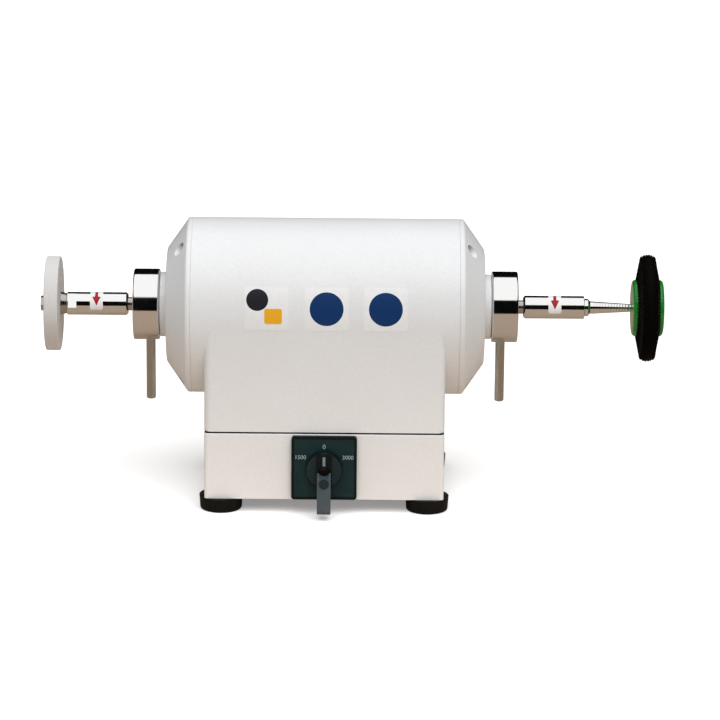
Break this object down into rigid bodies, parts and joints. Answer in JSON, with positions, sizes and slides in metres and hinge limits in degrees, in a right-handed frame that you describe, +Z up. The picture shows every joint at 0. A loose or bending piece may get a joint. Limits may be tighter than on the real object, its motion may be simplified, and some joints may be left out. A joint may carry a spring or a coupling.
{
  "type": "dental polishing lathe",
  "caption": "Bench polishing motor with a spindle at each end, quick-release chucks with hanging levers, a wheel, a brush and a front speed switch.",
  "frame": {"origin": "centre of the whole box, on the plane of the feet", "axes": "+X along the spindle towards the brush, -Y towards the front with the switch, +Z up"},
  "size_m": [0.4616, 0.1736, 0.2058],
  "materials": {
    "white_paint": "off-white textured enamel",
    "polished_chrome": "bright chrome plate",
    "turned_steel": "fine-turned satin",
    "bearing_steel": "ground",
    "black_oxide": "black oxide",
    "fastener_steel": "zinc plated",
    "core_iron": "laminated, varnished",
    "winding_copper": "enamelled wire",
    "cast_aluminium": "as cast",
    "grey_abrasive": "fine matte grain",
    "green_plastic": "moulded",
    "black_bristle": "stiff tufts",
    "black_rubber": "moulded",
    "black_plastic": "fine matte",
    "switch_plate_teal": "smooth plate",
    "pale_plastic": "moulded",
    "earth_brass": "plain"
  },
  "bodies": {
    "root": {"motor_housing": "white_paint", "left_end_bell": "white_paint", "right_end_bell": "white_paint", "left_bell_screws": "black_oxide", "right_bell_screws": "black_oxide", "left_bearing_outer_ring": "bearing_steel", "right_bearing_outer_ring": "bearing_steel", "left_preload_washer": "bearing_steel", "right_bearing_shim": "bearing_steel", "stator_core": "core_iron", "stator_windings": "winding_copper", "base_box": "white_paint", "base_gasket": "black_rubber", "base_plate": "fastener_steel", "housing_screws": "fastener_steel", "foot_front_left": "black_rubber", "foot_front_right": "black_rubber", "foot_rear_left": "black_rubber", "foot_rear_right": "black_rubber", "foot_screws": "fastener_steel", "switch_bezel": "black_plastic", "switch_face_plate": "switch_plate_teal", "switch_body": "black_plastic", "run_capacitor": "pale_plastic", "capacitor_clamp": "fastener_steel", "terminal_block": "pale_plastic", "earth_stud": "earth_brass", "cable_gland_body": "black_plastic", "cable_gland_cap": "black_plastic", "cable_gland_locknut": "black_plastic"},
    "rotor": {"rotor_shaft": "turned_steel", "rotor_core": "core_iron", "rotor_end_rings": "cast_aluminium", "left_bearing_inner_ring": "bearing_steel", "right_bearing_inner_ring": "bearing_steel", "left_bearing_balls": "bearing_steel", "right_bearing_balls": "bearing_steel", "left_chuck_sleeve": "polished_chrome", "right_chuck_sleeve": "polished_chrome"},
    "left_lever": {"left_release_collar": "polished_chrome", "left_release_lever": "turned_steel"},
    "right_lever": {"right_release_collar": "polished_chrome", "right_release_lever": "turned_steel"},
    "left_ejector": {"left_ejector_sleeve": "turned_steel"},
    "right_ejector": {"right_ejector_sleeve": "turned_steel"},
    "left_drift": {"left_drift": "turned_steel"},
    "right_drift": {"right_drift": "turned_steel"},
    "left_spindle": {"wheel_arbor": "turned_steel", "polishing_wheel": "grey_abrasive", "wheel_nut": "turned_steel"},
    "right_spindle": {"taper_spindle": "turned_steel", "brush_hub": "green_plastic", "brush_bristles": "black_bristle"},
    "switch_handle": {"switch_shaft": "black_plastic", "switch_knob": "black_plastic", "switch_knob_screw": "fastener_steel", "switch_knob_cap": "black_plastic"}
  },
  "joints": [
    {"name": "rotor_spin", "type": "hinge", "parent": "root", "child": "rotor", "pos_m": [-0.0194, 0.0008, 0.1408], "axis": [1, 0, 0], "continuous": true},
    {"name": "switch_turn", "type": "hinge", "parent": "root", "child": "switch_handle", "pos_m": [-0.0194, -0.0642, 0.0354], "axis": [0, 1, 0], "range_deg": [-60, 60]},
    {"name": "left_release_turn", "type": "hinge", "parent": "root", "child": "left_lever", "pos_m": [-0.1494, 0.0008, 0.1408], "axis": [-1, 0, 0], "range_deg": [0, 40]},
    {"name": "left_eject_slide", "type": "slide", "parent": "root", "child": "left_ejector", "axis": [-1, 0, 0], "range_m": [0, 0.003]},
    {"name": "left_drift_slide", "type": "slide", "parent": "rotor", "child": "left_drift", "axis": [-1, 0, 0], "range_m": [0, 0.003]},
    {"name": "left_spindle_pull", "type": "slide", "parent": "left_drift", "child": "left_spindle", "axis": [-1, 0, 0], "range_m": [0, 0.04]},
    {"name": "right_release_turn", "type": "hinge", "parent": "root", "child": "right_lever", "pos_m": [0.1106, 0.0008, 0.1408], "axis": [-1, 0, 0], "range_deg": [0, 40]},
    {"name": "right_eject_slide", "type": "slide", "parent": "root", "child": "right_ejector", "axis": [1, 0, 0], "range_m": [0, 0.003]},
    {"name": "right_drift_slide", "type": "slide", "parent": "rotor", "child": "right_drift", "axis": [1, 0, 0], "range_m": [0, 0.003]},
    {"name": "right_spindle_pull", "type": "slide", "parent": "right_drift", "child": "right_spindle", "axis": [1, 0, 0], "range_m": [0, 0.04]}
  ],
  "couplings": [
    {"joint": "left_eject_slide", "follows": "left_release_turn", "m_per_rad": 0.0042971},
    {"joint": "left_drift_slide", "follows": "left_release_turn", "m_per_rad": 0.0042971},
    {"joint": "right_eject_slide", "follows": "right_release_turn", "m_per_rad": 0.0042971},
    {"joint": "right_drift_slide", "follows": "right_release_turn", "m_per_rad": 0.0042971}
  ]
}
